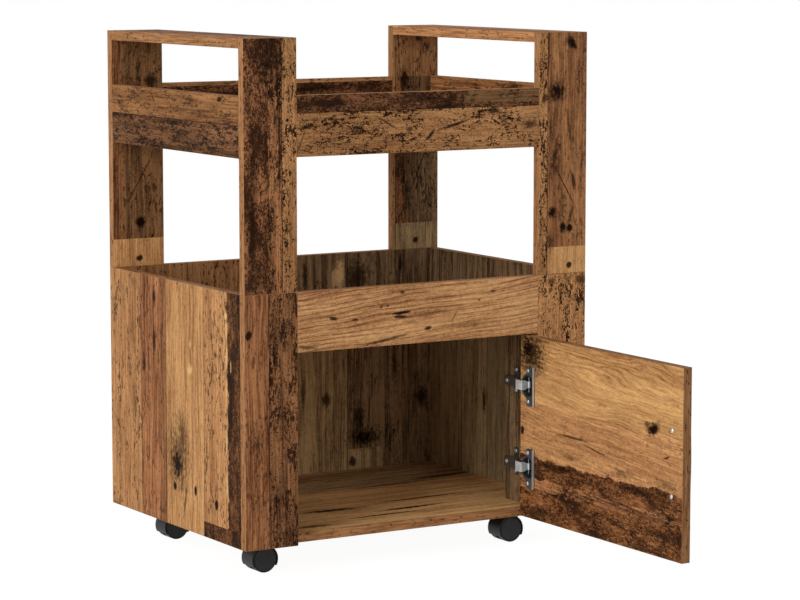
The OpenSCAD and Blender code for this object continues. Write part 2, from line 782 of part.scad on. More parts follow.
// One wheel of the pair, side s of the web: tread, hub and a closed outer face with a shallow dish
module caster_wheel(spot, s) {
  inner = web_t / 2 + wheel_gap;
  outer = caster_w / 2 - wheel_gap;
  w = outer - inner;
  bevel = 1;
  dish = 0.5;
  bore = axle_d / 2 + running_gap;
  color("#2a2a2c") at_caster(spot) translate([-caster_trail, 0, wheel_r]) rotate([-90 * s, 0, 0])
    translate([0, 0, inner]) rotate_extrude($fn = 96) polygon([
      [bore, 0], [hub_r, 0], [hub_r, w - face_t], [wheel_r - tread_t, w - face_t],
      [wheel_r - tread_t, 0], [wheel_r, 0], [wheel_r, w - bevel], [wheel_r - bevel, w],
      [wheel_r - tread_t, w], [wheel_r - tread_t - dish, w - dish], [0, w - dish],
      [0, w - face_t], [bore, w - face_t]
    ]);
}

module caster_stems() {
  color("#8c8f94") for (spot = caster_spots) at_caster(spot) {
    translate([0, 0, stem_bottom]) cylinder(h = caster_h - small_gap - stem_bottom, d = stem_d);
  }
}

module caster_screws() {
  color("silver") for (spot = caster_spots) at_caster(spot)
    caster_screw_places(caster_h - caster_plate_t) rotate([180, 0, 0]) wood_screw(screw_l);
}

side_panel_left();
side_panel_right();
back_panel();
bottom_board();
middle_shelf();
front_stile_left();
front_stile_right();
front_rail();
hinge_batten();
post_front_left();
post_front_right();
post_back_left();
post_back_right();
handle_bar_left();
handle_bar_right();
tray_board();
tray_side_left();
tray_side_right();
tray_front();
tray_back();
dowels();
cam_bolts();
cam_discs();
door();
door_handle();
handle_screws();
hinge_cup_upper();
hinge_cup_lower();
hinge_pins();
cup_screws();
hinge_arm_upper();
hinge_arm_lower();
hinge_plate_upper();
hinge_plate_lower();
hinge_screws();
caster_stems();
caster_screws();
caster_plate(caster_spots[0]);  // caster_plate_front_left
caster_hood(caster_spots[0]);  // caster_hood_front_left
caster_axle(caster_spots[0]);  // caster_axle_front_left
caster_wheel(caster_spots[0], -1);  // wheel_front_left_a
caster_wheel(caster_spots[0], 1);  // wheel_front_left_b
caster_plate(caster_spots[1]);  // caster_plate_front_right
caster_hood(caster_spots[1]);  // caster_hood_front_right
caster_axle(caster_spots[1]);  // caster_axle_front_right
caster_wheel(caster_spots[1], -1);  // wheel_front_right_a
caster_wheel(caster_spots[1], 1);  // wheel_front_right_b
caster_plate(caster_spots[2]);  // caster_plate_back_left
caster_hood(caster_spots[2]);  // caster_hood_back_left
caster_axle(caster_spots[2]);  // caster_axle_back_left
caster_wheel(caster_spots[2], -1);  // wheel_back_left_a
caster_wheel(caster_spots[2], 1);  // wheel_back_left_b
caster_plate(caster_spots[3]);  // caster_plate_back_right
caster_hood(caster_spots[3]);  // caster_hood_back_right
caster_axle(caster_spots[3]);  // caster_axle_back_right
caster_wheel(caster_spots[3], -1);  // wheel_back_right_a
caster_wheel(caster_spots[3], 1);  // wheel_back_right_b
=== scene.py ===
import math

import bpy
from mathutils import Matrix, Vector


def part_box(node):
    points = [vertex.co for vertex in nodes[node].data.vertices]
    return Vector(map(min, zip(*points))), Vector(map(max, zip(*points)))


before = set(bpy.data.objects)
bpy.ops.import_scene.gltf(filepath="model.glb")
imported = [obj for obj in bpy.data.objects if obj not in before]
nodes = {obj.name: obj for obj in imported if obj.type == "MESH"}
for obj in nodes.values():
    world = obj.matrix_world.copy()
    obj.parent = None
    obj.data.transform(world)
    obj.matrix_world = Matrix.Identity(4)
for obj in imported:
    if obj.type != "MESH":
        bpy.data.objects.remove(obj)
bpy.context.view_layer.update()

mm = 0.001
print("frame loaded:", len(nodes), "nodes")

# The camera stands at the front left and looks a little down.
cameraView = {
    "place": (-2.2918, -3.9591, 0.9403),
    "turn": -31.13,
    "tilt": 6.99,
    "lens": 132.18,
    "sensor": 36.0,
}

studio = {
    "skyStrength": 0.35,
    "keyPlace": (-7.8, -2.6, 3.3), "keySize": 5.0, "keyPower": 425.0,
    "fillPlace": (0.6, -8.2, 4.3), "fillSize": 5.0, "fillPower": 111.0,
    "aim": (0.0, 0.0, 0.4),
    "floorSize": 160.0, "floorColor": (0.86, 0.86, 0.86, 1.0),
    "floorGlow": 0.85, "whiteLevel": 1.12,
}


# A colour of three bytes, as Blender's linear colour
def toLinear(rgb):
    shares = [byte / 255 for byte in rgb]
    return (*[((s + 0.055) / 1.055) ** 2.4 if s > 10 / 255 else s / 12.92 for s in shares], 1.0)


# Puts a node in the tree. An input is given a value or the socket that feeds it.
def put(tree, kind, inputs=None, **settings):
    node = tree.nodes.new(kind)
    for name, value in settings.items():
        setattr(node, name, value)
    feed(tree, node, inputs or {})
    return node


def feed(tree, node, inputs):
    for name, value in inputs.items():
        if isinstance(value, bpy.types.NodeSocket):
            tree.links.new(value, node.inputs[name])
        else:
            node.inputs[name].default_value = value


def calc(tree, operation, *values, clamp=False):
    inputs = dict(enumerate(values))
    return put(tree, "ShaderNodeMath", inputs, operation=operation, use_clamp=clamp).outputs[0]


def times(tree, a, b):
    return calc(tree, "MULTIPLY", a, b)


def minus(tree, a, b):
    return calc(tree, "SUBTRACT", a, b)


def larger(tree, a, b):
    return calc(tree, "MAXIMUM", a, b)


# A value times a factor, on top of a base
def scaled(tree, value, factor, base, clamp=False):
    return calc(tree, "MULTIPLY_ADD", value, factor, base, clamp=clamp)


# How far a lies from b
def apart(tree, a, b):
    return calc(tree, "ABSOLUTE", minus(tree, a, b))


def pack(tree, x, y, z=0.0):
    return put(tree, "ShaderNodeCombineXYZ", {"X": x, "Y": y, "Z": z}).outputs[0]


def unpack(tree, vector):
    return put(tree, "ShaderNodeSeparateXYZ", {0: vector}).outputs


# Mixes from a to b by the share
def blend(tree, share, a, b, kind="RGBA"):
    first, second, result = {"FLOAT": (2, 3, 0), "VECTOR": (4, 5, 1), "RGBA": (6, 7, 2)}[kind]
    return put(tree, "ShaderNodeMix", {0: share, first: a, second: b}, data_type=kind).outputs[result]


def noise(tree, vector, detail=2.0, rough=0.5, scale=1.0, twist=0.0):
    return put(tree, "ShaderNodeTexNoise", {
        "Vector": vector, "Scale": scale, "Detail": detail, "Roughness": rough, "Distortion": twist,
    }).outputs["Fac"]


# 0 below low, 1 above high and smooth between
def ramp(tree, value, low, high):
    inputs = {"Value": value, "From Min": low, "From Max": high}
    return put(tree, "ShaderNodeMapRange", inputs, interpolation_type="SMOOTHSTEP").outputs["Result"]


def newGroup(name, inputs, outputs):
    group = bpy.data.node_groups.new(name, "ShaderNodeTree")
    for label, kind in inputs.items():
        group.interface.new_socket(label, in_out="INPUT", socket_type="NodeSocket" + kind)
    for label, kind in outputs.items():
        group.interface.new_socket(label, in_out="OUTPUT", socket_type="NodeSocket" + kind)
    return group, group.nodes.new("NodeGroupInput").outputs, group.nodes.new("NodeGroupOutput").inputs


def useGroup(tree, group, inputs):
    node = tree.nodes.new("ShaderNodeGroup")
    node.node_tree = group
    feed(tree, node, inputs)
    return node.outputs


def newMaterial(name):
    material = bpy.data.materials.new(name)
    material.use_nodes = True
    return material, material.node_tree, material.node_tree.nodes["Principled BSDF"]


def dress(name, material):
    for slot in nodes[name].material_slots:
        slot.material = material


# The noises of the old wood: waves per metre along and across the grain, shift of the seed, detail and
# roughness
woodNoises = {
    "broad": (4.0, 15.0, 0.0, 3.0, 0.5),
    "ribs": (3.0, 105.0, 2.7, 4.0, 0.68),
    "fibre": (14.0, 400.0, 5.1, 3.0, 0.62),
    "ticks": (66.0, 190.0, 8.3, 3.0, 0.62),
    "curls": (190.0, 270.0, 14.1, 3.0, 0.66),
    "clouds": (13.0, 36.0, 11.9, 5.0, 0.66),
    "patches": (22.0, 52.0, 17.3, 4.0, 0.62),
    "flecks": (95.0, 290.0, 31.3, 2.0, 0.6),
    "ridges": (5.0, 58.0, 21.7, 3.0, 0.6),
}

# The weights of the old wood. A fade is the two values between which something sets in, and the other pairs
# are a factor and a base. Cuts are the fine scratches, whose noise runs aslant.
woodPrint = {
    "drift": 0.03, "curlTwist": 1.2,
    "lineWaves": 880.0, "lineSwing": 9.0, "lineDepth": -0.6,
    "lineFade": (0.45, 1.0), "linePatchFade": (0.25, 0.6),
    "middleTone": 0.55, "ribFade": (0.36, 0.6),
    "broadTone": 1.1, "patchTone": 0.9, "fibreTone": (2.6, 1.0), "tickTone": 0.6, "curlTone": 1.3,
    "crowd": (-0.75, 0.99), "dashFade": (-0.01, 0.02),
    "wear": (-0.45, 0.785), "wearFade": (-0.01, 0.03),
    "crackleLevel": 0.49, "crackleFade": (0.022, 0.006), "cracklePatchFade": (0.44, 0.54),
    "splitFade": (0.004, 0.016), "splitCloudFade": (0.46, 0.6),
    "cutAlong": (90.0, 120.0), "cutAcross": (430.0, -300.0), "cutFade": (0.6, 0.68),
    "markDepth": 0.92,
    "charRim": (-0.5, 0.82), "charFade": (-0.04, 0.07), "charDepth": 0.93, "charDent": 0.4,
    "brightCurlFade": (0.48, 0.58), "brightTickFade": (0.59, 0.65), "brightCloudFade": (0.36, 0.56),
    "toneHeight": 0.5, "roughness": (0.25, 0.5),
}


# Old wood as the decor paper shows it. Along and Across are metres on the board's face, Along with the
# grain.
def makeOldWood():
    group, given, out = newGroup("old wood", {
        "Along": "Float", "Across": "Float", "Seed": "Float",
        "Light": "Color", "Dark": "Color", "Shade": "Color",
        "Rib": "Float", "Lines": "Float", "Bend": "Float", "Speck": "Float", "Scratch": "Float",
        "Crack": "Float", "Char": "Float", "Curl": "Float",
    }, {"Color": "Color", "Height": "Float", "Roughness": "Float"})
    along, across, seed = given["Along"], given["Across"], given["Seed"]
    look = woodPrint

    def field(name, base, twist=0.0):
        alongWaves, acrossWaves, shift, detail, rough = woodNoises[name]
        point = pack(group, times(group, along, alongWaves), times(group, base, acrossWaves),
                     calc(group, "ADD", seed, shift))
        return noise(group, point, detail, rough, twist=twist)

    def fade(value, name):
        return ramp(group, value, *look[name])

    # A value less its mean, times a weight, on top of a sum
    def sway(value, weight, base):
        return scaled(group, minus(group, value, 0.5), weight, base)

    # The grain wanders a little with a broad slow change of tone.
    broad = field("broad", across)
    drift = times(group, minus(group, broad, 0.5), given["Bend"])
    bent = scaled(group, drift, look["drift"], across)
    ribs = field("ribs", bent)
    fibre = field("fibre", bent)
    ticks = field("ticks", across)
    curls = field("curls", across, look["curlTwist"])
    clouds = field("clouds", across)
    patches = field("patches", across)

    # Growth lines: thin dark waves about 7 mm apart, stronger and weaker along the board
    swing = scaled(group, broad, look["lineSwing"], times(group, bent, look["lineWaves"]))
    wave = calc(group, "SINE", swing)
    line = times(group, fade(wave, "lineFade"), fade(patches, "linePatchFade"))
    line = times(group, line, given["Lines"])

    streaks = times(group, given["Rib"], minus(group, fade(ribs, "ribFade"), 0.5))
    tone = sway(broad, look["broadTone"], calc(group, "ADD", streaks, look["middleTone"]))
    tone = sway(patches, look["patchTone"], tone)
    tone = sway(fibre, scaled(group, given["Rib"], *look["fibreTone"]), tone)
    tone = sway(ticks, look["tickTone"], tone)
    tone = sway(curls, look["curlTone"], tone)
    tone = scaled(group, line, look["lineDepth"], tone, clamp=True)
    bare = blend(group, tone, given["Dark"], given["Light"])

    # Over the grain: dark dashes along it, curls and crackle of a worn surface, splits and fine scratches
    crowd = scaled(group, patches, *look["crowd"])
    dashes = fade(minus(group, field("flecks", across), crowd), "dashFade")
    dashes = times(group, dashes, given["Speck"])
    wear = scaled(group, patches, *look["wear"])
    worn = fade(minus(group, curls, wear), "wearFade")
    crackle = fade(apart(group, ticks, look["crackleLevel"]), "crackleFade")
    crackle = times(group, crackle, fade(patches, "cracklePatchFade"))
    worn = times(group, larger(group, worn, crackle), given["Curl"])
    ridge = apart(group, field("ridges", bent), 0.5)
    split = minus(group, 1.0, fade(ridge, "splitFade"))
    split = times(group, times(group, split, fade(clouds, "splitCloudFade")), given["Crack"])
    (alongAlong, alongAcross), (acrossAlong, acrossAcross) = look["cutAlong"], look["cutAcross"]
    slant = noise(group, pack(
        group, scaled(group, across, alongAcross, times(group, along, alongAlong)),
        scaled(group, along, acrossAlong, times(group, across, acrossAcross)), seed), 2.0)
    cuts = times(group, fade(slant, "cutFade"), given["Scratch"])
    marks = larger(group, larger(group, dashes, worn), larger(group, split, cuts))
    marked = blend(group, times(group, marks, look["markDepth"]), bare, given["Shade"])

    # Charred clouds, with the curls lighter in them
    charRim = scaled(group, given["Char"], *look["charRim"])
    ashes = sway(ticks, 1.0, sway(curls, 1.0, clouds))
    charred = fade(minus(group, ashes, charRim), "charFade")
    bright = larger(group, fade(curls, "brightCurlFade"), fade(ticks, "brightTickFade"))
    bright = times(group, bright, fade(sway(clouds, -1.0, 0.5), "brightCloudFade"))
    coal = blend(group, bright, given["Shade"], given["Dark"])
    color = blend(group, times(group, charred, look["charDepth"]), marked, coal)
    group.links.new(color, out["Color"])
    dents = larger(group, marks, times(group, charred, look["charDent"]))
    group.links.new(minus(group, times(group, tone, look["toneHeight"]), dents), out["Height"])
    group.links.new(scaled(group, ticks, *look["roughness"]), out["Roughness"])
    return group


# Waves are per metre along and across the band.
bandPrint = {
    "streakWaves": (26.0, 420.0), "streakFade": (0.3, 0.68),
    "nickWaves": (120.0, 300.0), "nickFade": (0.6, 0.68), "nickDepth": 0.8,
}


# The band glued round a board's edges, with streaks along it
def makeEdgeBand():
    group, given, out = newGroup("edge band", {
        "Along": "Float", "Across": "Float", "Seed": "Float",
        "Light": "Color", "Dark": "Color", "Shade": "Color",
    }, {"Color": "Color", "Height": "Float"})

    def point(waves):
        return pack(group, times(group, given["Along"], waves[0]), times(group, given["Across"], waves[1]),
                    given["Seed"])

    streak = noise(group, point(bandPrint["streakWaves"]), 3.0, 0.6)
    nick = noise(group, point(bandPrint["nickWaves"]), 2.0)
    plain = blend(group, ramp(group, streak, *bandPrint["streakFade"]), given["Dark"], given["Light"])
    nicks = times(group, ramp(group, nick, *bandPrint["nickFade"]), bandPrint["nickDepth"])
    group.links.new(blend(group, nicks, plain, given["Shade"]), out["Color"])
    group.links.new(streak, out["Height"])
    return group


# Soft marks reach out past their size by the spread, and their ragged rims by the rag.
markPrint = {"spread": 0.6, "rag": 1.2}


# One mark of the print: an ellipse, turned and with a ragged rim. Size holds its half length and half
# width.
def makePrintMark():
    group, given, out = newGroup("print mark", {
        "Point": "Vector", "Centre": "Vector", "Size": "Vector", "Turn": "Float", "Ragged": "Float",
        "Soft": "Float", "Depth": "Float",
    }, {"Mask": "Float"})

    def vector(operation, *values):
        inputs = dict(enumerate(values))
        return put(group, "ShaderNodeVectorMath", inputs, operation=operation).outputs

    offset = vector("SUBTRACT", given["Point"], given["Centre"])[0]
    turned = put(group, "ShaderNodeVectorRotate", {"Vector": offset, "Angle": given["Turn"]},
                 rotation_type="Z_AXIS").outputs[0]
    reach = vector("LENGTH", vector("DIVIDE", turned, given["Size"])[0])["Value"]
    rim = scaled(group, given["Soft"], markPrint["spread"], 1.0)
    ragged = times(group, times(group, given["Ragged"], given["Soft"]), markPrint["rag"])
    core = minus(group, 1.0, given["Soft"])
    outside = ramp(group, calc(group, "ADD", reach, ragged), core, rim)
    inside = minus(group, 1.0, outside)
    group.links.new(times(group, inside, given["Depth"]), out["Mask"])
    return group


oldWood = makeOldWood()
edgeBand = makeEdgeBand()
printMark = makePrintMark()

# The kinds of old board in the print. Colours are bytes. A strength is 0 for none of a feature and 1 for
# much of it.
oldBoards = {
    "pine": {
        "light": (222, 168, 112), "dark": (146, 98, 58), "shade": (66, 34, 16),
        "rib": 0.45, "lines": 0.0, "bend": 0.7, "speck": 0.3, "scratch": 0.1, "crack": 0.3,
        "char": 0.0, "curl": 0.1,
    },
    "pale pine": {
        "light": (240, 194, 134), "dark": (170, 126, 78), "shade": (84, 54, 28),
        "rib": 0.5, "lines": 0.0, "bend": 0.5, "speck": 0.3, "scratch": 0.05, "crack": 0.6,
        "char": 0.0, "curl": 0.1,
    },
    "lined pine": {
        "light": (230, 176, 120), "dark": (134, 84, 51), "shade": (72, 34, 18),
        "rib": 0.25, "lines": 0.72, "bend": 0.6, "speck": 0.2, "scratch": 0.05, "crack": 0.25,
        "char": 0.0, "curl": 0.0,
    },
    "olive pine": {
        "light": (224, 188, 136), "dark": (126, 98, 66), "shade": (60, 40, 22),
        "rib": 0.6, "lines": 0.0, "bend": 0.5, "speck": 0.3, "scratch": 0.05, "crack": 0.7,
        "char": 0.0, "curl": 0.1,
    },
    "tan": {
        "light": (216, 160, 107), "dark": (134, 88, 54), "shade": (52, 26, 13),
        "rib": 0.3, "lines": 0.0, "bend": 0.6, "speck": 0.9, "scratch": 0.3, "crack": 0.5,
        "char": 0.05, "curl": 0.3,
    },
    "speckled": {
        "light": (220, 162, 107), "dark": (126, 82, 48), "shade": (42, 20, 9),
        "rib": 0.15, "lines": 0.0, "bend": 0.4, "speck": 1.0, "scratch": 0.5, "crack": 0.5,
        "char": 0.12, "curl": 1.3,
    },
    "weathered": {
        "light": (190, 133, 88), "dark": (108, 68, 42), "shade": (32, 15, 7),
        "rib": 0.35, "lines": 0.0, "bend": 0.6, "speck": 0.7, "scratch": 0.5, "crack": 0.6,
        "char": 0.16, "curl": 0.5,
    },
    "russet": {
        "light": (194, 133, 88), "dark": (106, 64, 40), "shade": (48, 23, 12),
        "rib": 0.6, "lines": 0.0, "bend": 0.6, "speck": 0.7, "scratch": 0.25, "crack": 0.7,
        "char": 0.08, "curl": 0.3,
    },
    "scratched": {
        "light": (214, 151, 96), "dark": (120, 77, 45), "shade": (44, 21, 10),
        "rib": 0.5, "lines": 0.0, "bend": 0.5, "speck": 0.8, "scratch": 0.8, "crack": 0.6,
        "char": 0.14, "curl": 0.5,
    },
    "umber": {
        "light": (192, 133, 88), "dark": (96, 60, 37), "shade": (22, 10, 4),
        "rib": 0.5, "lines": 0.0, "bend": 0.6, "speck": 1.0, "scratch": 0.6, "crack": 1.0,
        "char": 0.48, "curl": 0.9,
    },
    "dim plank": {
        "light": (154, 124, 90), "dark": (78, 58, 40), "shade": (32, 21, 12),
        "rib": 0.8, "lines": 0.0, "bend": 0.6, "speck": 0.5, "scratch": 0.15, "crack": 0.9,
        "char": 0.2, "curl": 0.2,
    },
    "mottled": {
        "light": (162, 127, 88), "dark": (82, 60, 40), "shade": (24, 14, 8),
        "rib": 0.4, "lines": 0.0, "bend": 0.6, "speck": 1.0, "scratch": 0.4, "crack": 0.9,
        "char": 0.22, "curl": 0.7,
    },
    "smoked": {
        "light": (154, 112, 74), "dark": (84, 56, 36), "shade": (26, 14, 6),
        "rib": 0.5, "lines": 0.0, "bend": 0.6, "speck": 0.8, "scratch": 0.4, "crack": 0.9,
        "char": 0.22, "curl": 0.5,
    },
    "charred": {
        "light": (164, 114, 76), "dark": (148, 98, 64), "shade": (32, 15, 7),
        "rib": 0.4, "lines": 0.0, "bend": 0.6, "speck": 0.9, "scratch": 0.3, "crack": 0.4,
        "char": 1.05, "curl": 0.8,
    },
    "burnt": {
        "light": (196, 133, 84), "dark": (166, 106, 62), "shade": (28, 13, 6),
        "rib": 0.4, "lines": 0.0, "bend": 0.6, "speck": 0.9, "scratch": 0.3, "crack": 0.4,
        "char": 0.98, "curl": 0.9,
    },
    "amber": {
        "light": (238, 178, 118), "dark": (156, 104, 66), "shade": (84, 42, 20),
        "rib": 0.3, "lines": 0.15, "bend": 0.9, "speck": 0.5, "scratch": 0.6, "crack": 0.6,
        "char": 0.0, "curl": 0.45,
    },
    "swept pine": {
        "light": (232, 180, 117), "dark": (146, 98, 58), "shade": (72, 36, 18),
        "rib": 0.3, "lines": 0.42, "bend": 2.1, "speck": 0.15, "scratch": 0.1, "crack": 0.3,
        "char": 0.0, "curl": 0.15,
    },
    "calm pine": {
        "light": (232, 180, 117), "dark": (150, 101, 60), "shade": (72, 36, 18),
        "rib": 0.25, "lines": 0.1, "bend": 2.1, "speck": 0.2, "scratch": 0.15, "crack": 0.5,
        "char": 0.0, "curl": 0.3,
    },
    "olive plank": {
        "light": (220, 194, 146), "dark": (150, 124, 86), "shade": (60, 44, 28),
        "rib": 0.5, "lines": 0.0, "bend": 0.5, "speck": 0.3, "scratch": 0.05, "crack": 0.7,
        "char": 0.0, "curl": 0.1,
    },
}
bandColors = {"light": (190, 138, 93), "dark": (138, 93, 57), "shade": (74, 42, 22)}
knotColor = toLinear((26, 12, 6))
glintColor = toLinear((240, 196, 136))


# One board of the print within the limits, in millimetres along and across the grain. Gain scales its
# colours, and ragged is the reach of its rim's jitter in millimetres.
def zone(kind, seed, ragged=0.0, gain=1.0, **limits):
    return {"kind": kind, "seed": seed, "ragged": ragged, "gain": gain, "limits": limits}


# The three colours of a wood, times the gain
def shades(colors, gain):
    return [toLinear([byte * gain for byte in colors[name]]) for name in ("light", "dark", "shade")]


# The inputs of the old wood that a zone sets: three colours, and its strengths in three vectors
def zoneInputs(patch):
    kind = oldBoards[patch["kind"]]
    return shades(kind, patch["gain"]) + [
        (kind["rib"], kind["lines"], kind["bend"]),
        (kind["speck"], kind["scratch"], kind["crack"]),
        (kind["char"], kind["curl"], patch["seed"]),
    ]


def zoneMask(tree, patch, along, across, wobble):
    places = {"along": along, "across": across}
    mask = None
    for name, limit in patch["limits"].items():
        place = places[name.replace("Over", "").replace("Under", "")]
        if patch["ragged"]:
            place = scaled(tree, wobble, patch["ragged"] * 2 * mm, place)
        test = calc(tree, "GREATER_THAN" if name.endswith("Over") else "LESS_THAN", place, limit * mm)
        mask = test if mask is None else times(tree, mask, test)
    return mask


# Mixes the inputs of two woods by the share: the first three are colours, and the others vectors.
def mixInputs(tree, share, first, second):
    kinds = ["RGBA"] * 3 + ["VECTOR"] * 3
    return [blend(tree, share, a, b, kind) for a, b, kind in zip(first, second, kinds)]


def zonesInputs(tree, zones, along, across, wobble):
    inputs = zoneInputs(zones[0])
    for patch in zones[1:]:
        mask = zoneMask(tree, patch, along, across, wobble)
        inputs = mixInputs(tree, mask, inputs, zoneInputs(patch))
    return inputs


# The mask of one mark: along, across, half length, half width, turn in degrees, softness and depth
def markMask(tree, spot, ragged, mark):
    place, side, halfLong, halfWide, turn, soft, depth = mark
    return useGroup(tree, printMark, {
        "Point": spot, "Centre": (place * mm, side * mm, 0.0),
        "Size": (halfLong * mm, halfWide * mm, 1.0), "Turn": -math.radians(turn),
        "Ragged": ragged, "Soft": soft, "Depth": depth})[0]


# Lengths are in millimetres. The jitter of the zones' rims and the rag of the marks' rims are noises: waves
# per metre along and across the grain, shift, detail and roughness.
boardPrint = {
    "skin": 0.25, "backSeed": 4.0, "bandSeed": 1.5,
    "jitter": (31.0, 70.0, 3.0, 5.0, 0.72),
    "rag": (120.0, 170.0, 5.0, 4.0, 0.7), "ragReach": 3.2,
    "seamWidth": 1.4, "seamDepth": 0.7, "gloss": 0.04, "bump": 0.25, "bumpDepth": 0.35,
}


# Dresses a board. Its look names the axis of the grain, the axis and side of the face that carries the
# marks, the zones laid one over the other, the seams between them, the dark marks and the light glints. The
# hidden face repeats them from its other end, over zones of its own where the look has any.
def dressBoard(name, look):
    material, tree, shader = newMaterial("decor of " + name.replace("_", " "))
    low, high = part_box(name)
    grain, face = "xyz".index(look["grain"]), "xyz".index(look["face"])
    cross = 3 - grain - face
    middle = [(low[i] + high[i]) / 2 for i in range(3)]
    half = [(high[i] - low[i]) / 2 for i in range(3)]
    skin = boardPrint["skin"] * mm
    point = unpack(tree, put(tree, "ShaderNodeTexCoord").outputs["Object"])

    depth = minus(tree, point[face], middle[face])
    onFace = calc(tree, "GREATER_THAN", calc(tree, "ABSOLUTE", depth), half[face] - skin)
    onBack = calc(tree, "GREATER_THAN" if look["side"] == "low" else "LESS_THAN", depth, 0.0)
    onEnd = calc(tree, "GREATER_THAN", apart(tree, point[grain], middle[grain]), half[grain] - skin)
    fromOtherEnd = minus(tree, 2 * middle[grain], point[grain])
    along = blend(tree, onBack, point[grain], fromOtherEnd, "FLOAT")
    across = point[cross]

    def uneven(setting):
        alongWaves, acrossWaves, shift, detail, rough = setting
        place = pack(tree, times(tree, along, alongWaves), times(tree, across, acrossWaves), shift)
        return minus(tree, noise(tree, place, detail, rough), 0.5)

    wobble = uneven(boardPrint["jitter"])
    inputs = zonesInputs(tree, look["zones"], along, across, wobble)
    if "backZones" in look:
        hidden = zonesInputs(tree, look["backZones"], along, across, wobble)
        inputs = mixInputs(tree, onBack, inputs, hidden)
    strengths = [value if isinstance(value, tuple) else unpack(tree, value) for value in inputs[3:]]
    wood = useGroup(tree, oldWood, {
        "Along": along, "Across": scaled(tree, along, -look.get("slope", 0.0), across),
        "Seed": scaled(tree, onBack, boardPrint["backSeed"], strengths[2][2]),
        "Light": inputs[0], "Dark": inputs[1], "Shade": inputs[2],
        "Rib": strengths[0][0], "Lines": strengths[0][1], "Bend": strengths[0][2],
        "Speck": strengths[1][0], "Scratch": strengths[1][1], "Crack": strengths[1][2],
        "Char": strengths[2][0], "Curl": strengths[2][1]})

    spot = pack(tree, along, across)
    ragged = times(tree, uneven(boardPrint["rag"]), boardPrint["ragReach"])
    marks = 0.0
    for mark in look["marks"]:
        marks = larger(tree, markMask(tree, spot, ragged, mark), marks)
    for seam in look["seams"]:
        gap = apart(tree, across, seam * mm)
        onSeam = calc(tree, "LESS_THAN", gap, boardPrint["seamWidth"] / 2 * mm)
        marks = larger(tree, times(tree, onSeam, boardPrint["seamDepth"]), marks)
    color = blend(tree, marks, wood["Color"], knotColor)
    for glint in look.get("glints", []):
        color = blend(tree, markMask(tree, spot, ragged, glint), color, glintColor)

    band = shades(bandColors, look.get("band", 1.0))
    edge = useGroup(tree, edgeBand, {
        "Along": blend(tree, onEnd, point[grain], point[cross], "FLOAT"), "Across": point[face],
        "Seed": look["zones"][0]["seed"] + boardPrint["bandSeed"],
        "Light": band[0], "Dark": band[1], "Shade": band[2]})
    height = blend(tree, onFace, edge["Height"], minus(tree, wood["Height"], marks), "FLOAT")
    bump = put(tree, "ShaderNodeBump", {
        "Height": height, "Strength": boardPrint["bump"], "Distance": boardPrint["bumpDepth"] * mm})
    feed(tree, shader, {
        "Base Color": blend(tree, onFace, edge["Color"], color), "Roughness": wood["Roughness"],
        "Normal": bump.outputs["Normal"], "Specular IOR Level": boardPrint["gloss"]})
    dress(name, material)


# Cupboard

leftPanel = {
    "grain": "z", "face": "x", "side": "low",
    "zones": [
        zone("tan", 1.0, gain=1.03), zone("russet", 2.0, gain=1.05, acrossUnder=116),
        zone("russet", 2.4, 2, 0.9, acrossUnder=52), zone("pine", 3.0, acrossUnder=31),
        zone("tan", 4.1, gain=1.04, acrossUnder=-94),
        zone("burnt", 5.0, 14, 0.75, acrossUnder=-171),
        zone("burnt", 5.6, 1, 0.76, alongUnder=74, acrossUnder=-92),
    ],
    "seams": [116, 31, -94],
    "glints": [
        (297, -48, 7, 9, 20, 0.7, 0.75), (336, -50, 8, 3, 0, 0.6, 0.6),
        (392, -166, 6, 4, 0, 0.5, 0.9), (372, -167, 14, 3, 0, 0.6, 0.8),
        (330, -168, 16, 3, 0, 0.6, 0.7), (280, -167, 18, 2.5, 0, 0.6, 0.6),
        (200, -167, 22, 2.5, 0, 0.6, 0.6), (140, -167, 18, 3, 0, 0.6, 0.7),
        (318, -181, 9, 2, 0, 0.5, 0.6),
    ],
    "marks": [
        (160, -8, 48, 34, 0, 0.9, 0.75), (148, -6, 30, 22, 0, 0.7, 1.0),
        (192, -22, 38, 16, 8, 0.9, 0.75), (98, -32, 34, 3, -14, 0.6, 0.7),
        (120, -20, 20, 4, -10, 0.6, 0.7), (112, 4, 8, 5.5, 0, 0.4, 1.0),
        (115, -65, 8, 5, 0, 0.4, 1.0), (105, -133, 8, 6, 0, 0.4, 1.0),
        (397, 70, 15, 5, 5, 0.5, 0.95), (331, 71, 22, 5, 0, 0.5, 0.9),
        (289, 107, 16, 6, 0, 0.6, 0.9), (226, 140, 34, 7, 4, 0.9, 0.55),
        (183, 201, 12, 2, 35, 0.4, 0.8), (412, 144, 12, 14, 0, 0.9, 0.3),
    ],
}
dressBoard("side_panel_left", leftPanel)

rightPanel = {
    "grain": "z", "face": "x", "side": "low",
    "zones": [
        zone("olive plank", 11.0, gain=1.04),
        zone("olive plank", 12.0, gain=0.97, acrossOver=109),
        zone("olive plank", 13.0, gain=0.9, acrossUnder=32),
        zone("dim plank", 14.0, alongOver=345),
    ],
    "backZones": [
        zone("tan", 15.0), zone("russet", 16.0, gain=1.04, acrossOver=109),
        zone("pine", 17.0, gain=0.98, acrossUnder=32), zone("speckled", 18.0, acrossUnder=-90),
        zone("umber", 19.0, 3, 1.1, acrossUnder=-160),
    ],
    "seams": [109, 32],
    "marks": [(191, 41, 22, 5, 0, 0.5, 0.85), (300, -60, 30, 6, 0, 0.6, 0.6)],
}
dressBoard("side_panel_right", rightPanel)

